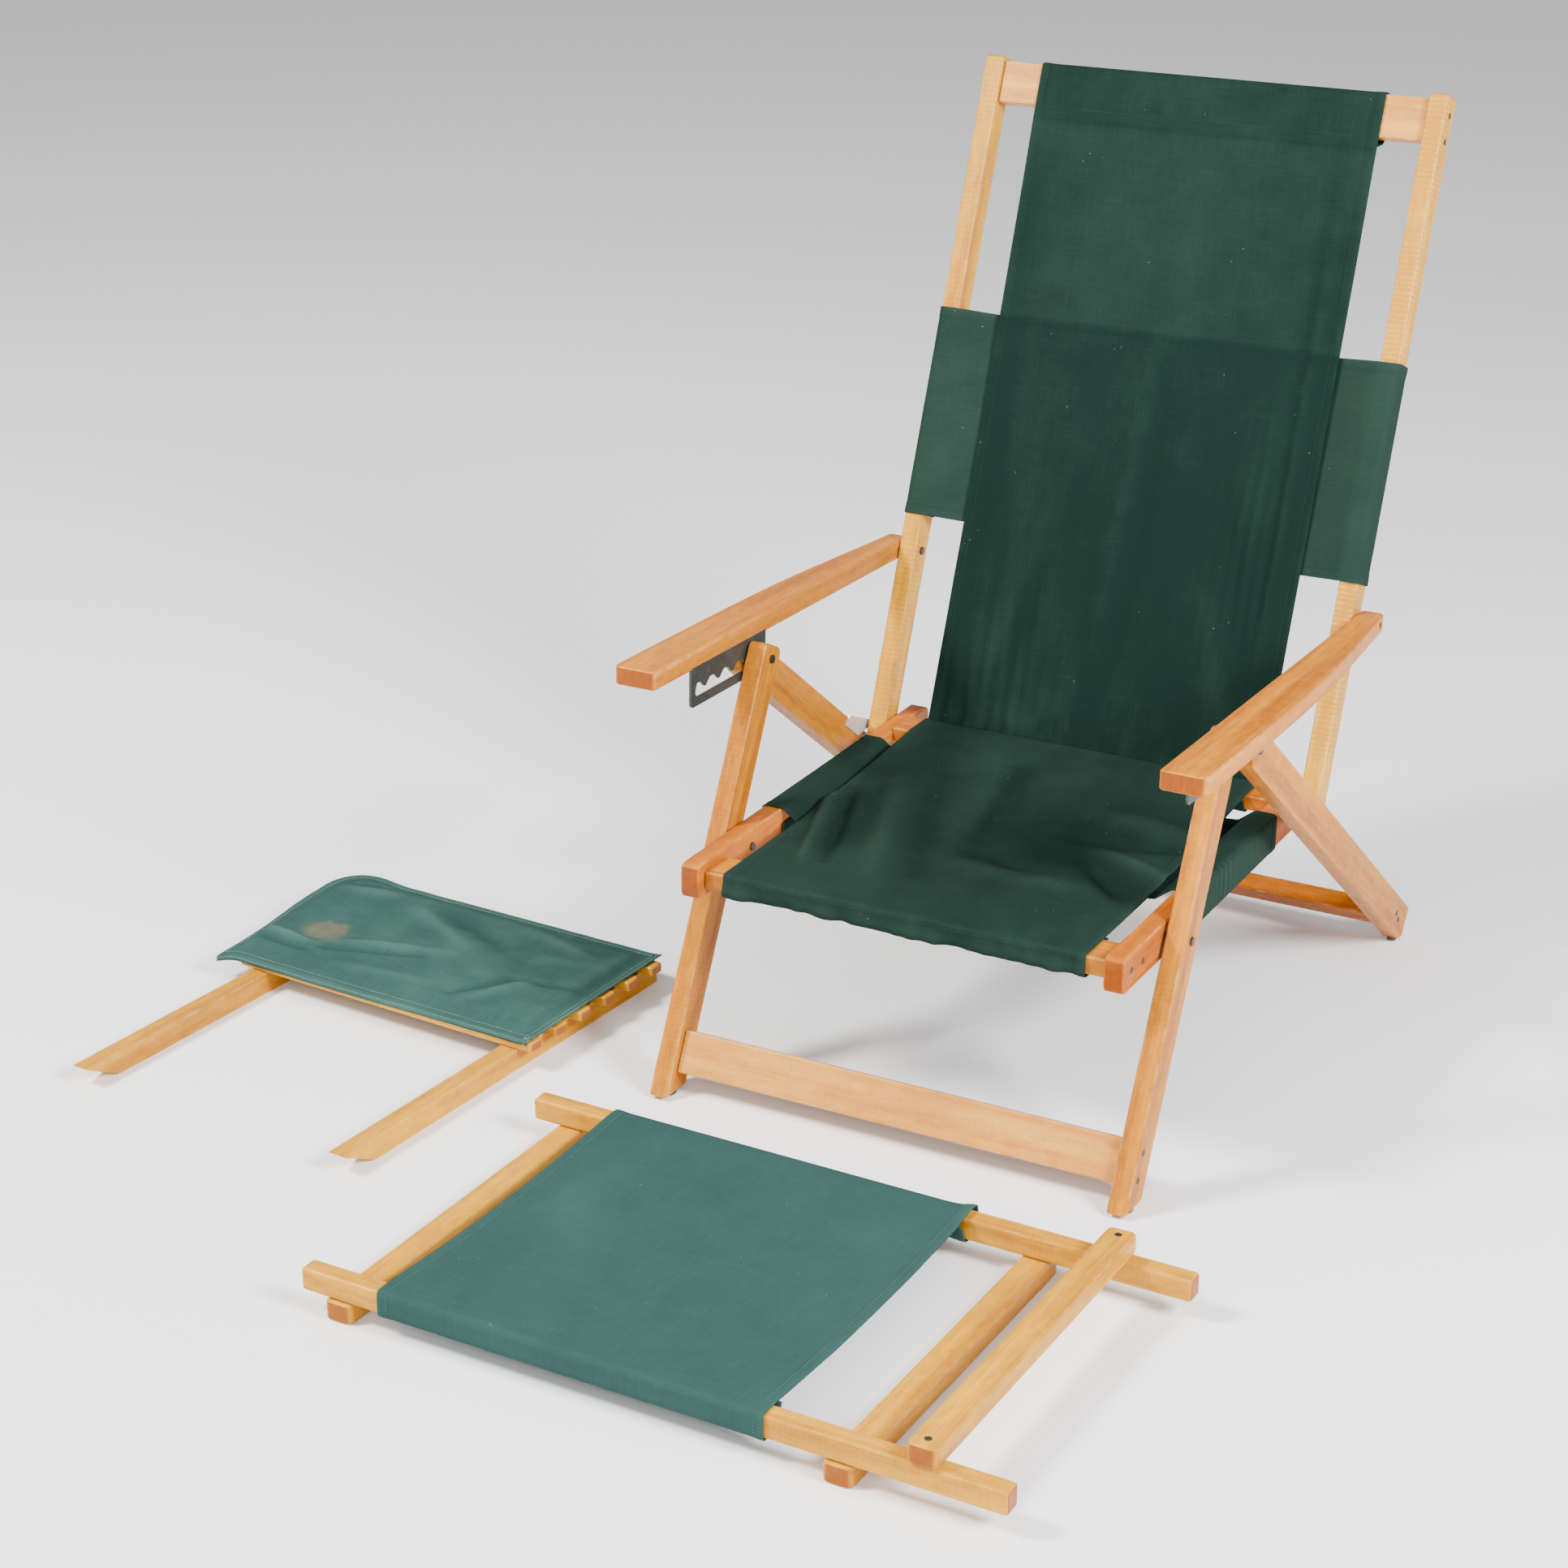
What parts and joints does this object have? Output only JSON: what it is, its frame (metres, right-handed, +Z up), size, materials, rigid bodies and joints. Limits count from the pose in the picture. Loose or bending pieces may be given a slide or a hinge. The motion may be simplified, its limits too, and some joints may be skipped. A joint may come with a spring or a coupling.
{
  "type": "deck chair",
  "caption": "Folding wooden deck chair with canvas slings, notched arm plates, a loose leg rest frame and a slatted, padded foot panel.",
  "frame": {"origin": "the floor point under the middle of the set: the chair with its leg rest in front and its foot panel at the side", "axes": "+Z up, the chair faces -Y, +X towards the sitter's left hand"},
  "size_m": [1.2986, 1.3942, 1.018],
  "materials": {
    "wood": "clear satin varnish over pale honey hardwood with fine straight grain",
    "warm_wood": "clear satin varnish over warmer, more orange hardwood with fine grain",
    "dark_canvas": "bottle-green plain-weave canvas, matt",
    "faded_canvas": "sun-faded teal-green plain-weave canvas, matt",
    "plate_steel": "dull galvanised sheet steel",
    "bolt_steel": "dark aged steel bolt",
    "glide": "dark nail-on glide"
  },
  "bodies": {
    "seat": {"seat_rail_left": "warm_wood", "leg_pivot_bolt_left": "bolt_steel", "back_pivot_bolt_left": "bolt_steel", "seat_rail_right": "warm_wood", "leg_pivot_bolt_right": "bolt_steel", "back_pivot_bolt_right": "bolt_steel", "seat_front_rail": "wood", "seat_rear_rail": "wood", "seat_sling": "dark_canvas", "seat_band": "dark_canvas"},
    "front_legs": {"front_leg_left": "wood", "front_glide_left": "glide", "notch_pin_left": "bolt_steel", "front_leg_right": "wood", "front_glide_right": "glide", "notch_pin_right": "bolt_steel", "front_stretcher": "wood"},
    "back": {"back_post_left": "wood", "back_post_right": "wood", "back_top_rail": "wood", "back_sling": "dark_canvas", "back_band": "dark_canvas"},
    "rear_legs": {"rear_leg_left": "wood", "hook_plate_left": "plate_steel", "rear_glide_left": "glide", "rear_leg_right": "wood", "hook_plate_right": "plate_steel", "rear_glide_right": "glide", "rear_stretcher": "wood"},
    "arm_left": {"armrest_left": "warm_wood", "notch_plate_left": "plate_steel", "arm_bolt_left": "bolt_steel"},
    "arm_right": {"armrest_right": "warm_wood", "notch_plate_right": "plate_steel", "arm_bolt_right": "bolt_steel"},
    "leg_rest": {"leg_rest_rail_far": "wood", "leg_rest_rail_near": "wood", "leg_rest_crossbar_head": "wood", "leg_rest_crossbar_mid": "wood", "leg_rest_crossbar_top": "wood", "leg_rest_sling": "faded_canvas"},
    "foot_panel": {"foot_panel_rail_left": "wood", "foot_panel_rail_right": "wood", "foot_panel_slat_1": "wood", "foot_panel_slat_2": "wood", "foot_panel_slat_3": "wood", "foot_panel_slat_4": "wood", "foot_panel_slat_5": "wood", "foot_panel_slat_6": "wood", "foot_panel_pad": "faded_canvas"}
  },
  "joints": [
    {"name": "fold", "type": "hinge", "parent": "seat", "child": "back", "pos_m": [0, 0.39234, 0.2555], "axis": [-1, 0, 0], "range_deg": [0, 69]},
    {"name": "front_leg_pivot", "type": "hinge", "parent": "seat", "child": "front_legs", "pos_m": [0, 0.00513, 0.2555], "axis": [-1, 0, 0], "range_deg": [0, 63.55]},
    {"name": "rear_leg_pivot", "type": "hinge", "parent": "front_legs", "child": "rear_legs", "pos_m": [0, 0.09736, 0.4405], "axis": [-1, 0, 0], "range_deg": [-92.68, 0]},
    {"name": "arm_pivot_left", "type": "hinge", "parent": "back", "child": "arm_left", "pos_m": [0, 0.47118, 0.46089], "axis": [-1, 0, 0], "range_deg": [-65.26, 0]},
    {"name": "arm_pivot_right", "type": "hinge", "parent": "back", "child": "arm_right", "pos_m": [0, 0.47118, 0.46089], "axis": [-1, 0, 0], "range_deg": [-65.26, 0]},
    {"name": "leg_rest_lift", "type": "slide", "parent": "seat", "child": "leg_rest", "axis": [0, 0, 1], "range_m": [0, 0.1]},
    {"name": "foot_panel_lift", "type": "slide", "parent": "seat", "child": "foot_panel", "axis": [0, 0, 1], "range_m": [0, 0.1]}
  ],
  "couplings": [
    {"joint": "front_leg_pivot", "follows": "fold", "ratio": 0.92029},
    {"joint": "rear_leg_pivot", "follows": "fold", "ratio": -1.3425},
    {"joint": "arm_pivot_left", "follows": "fold", "ratio": -0.94505},
    {"joint": "arm_pivot_right", "follows": "fold", "ratio": -0.94505}
  ]
}
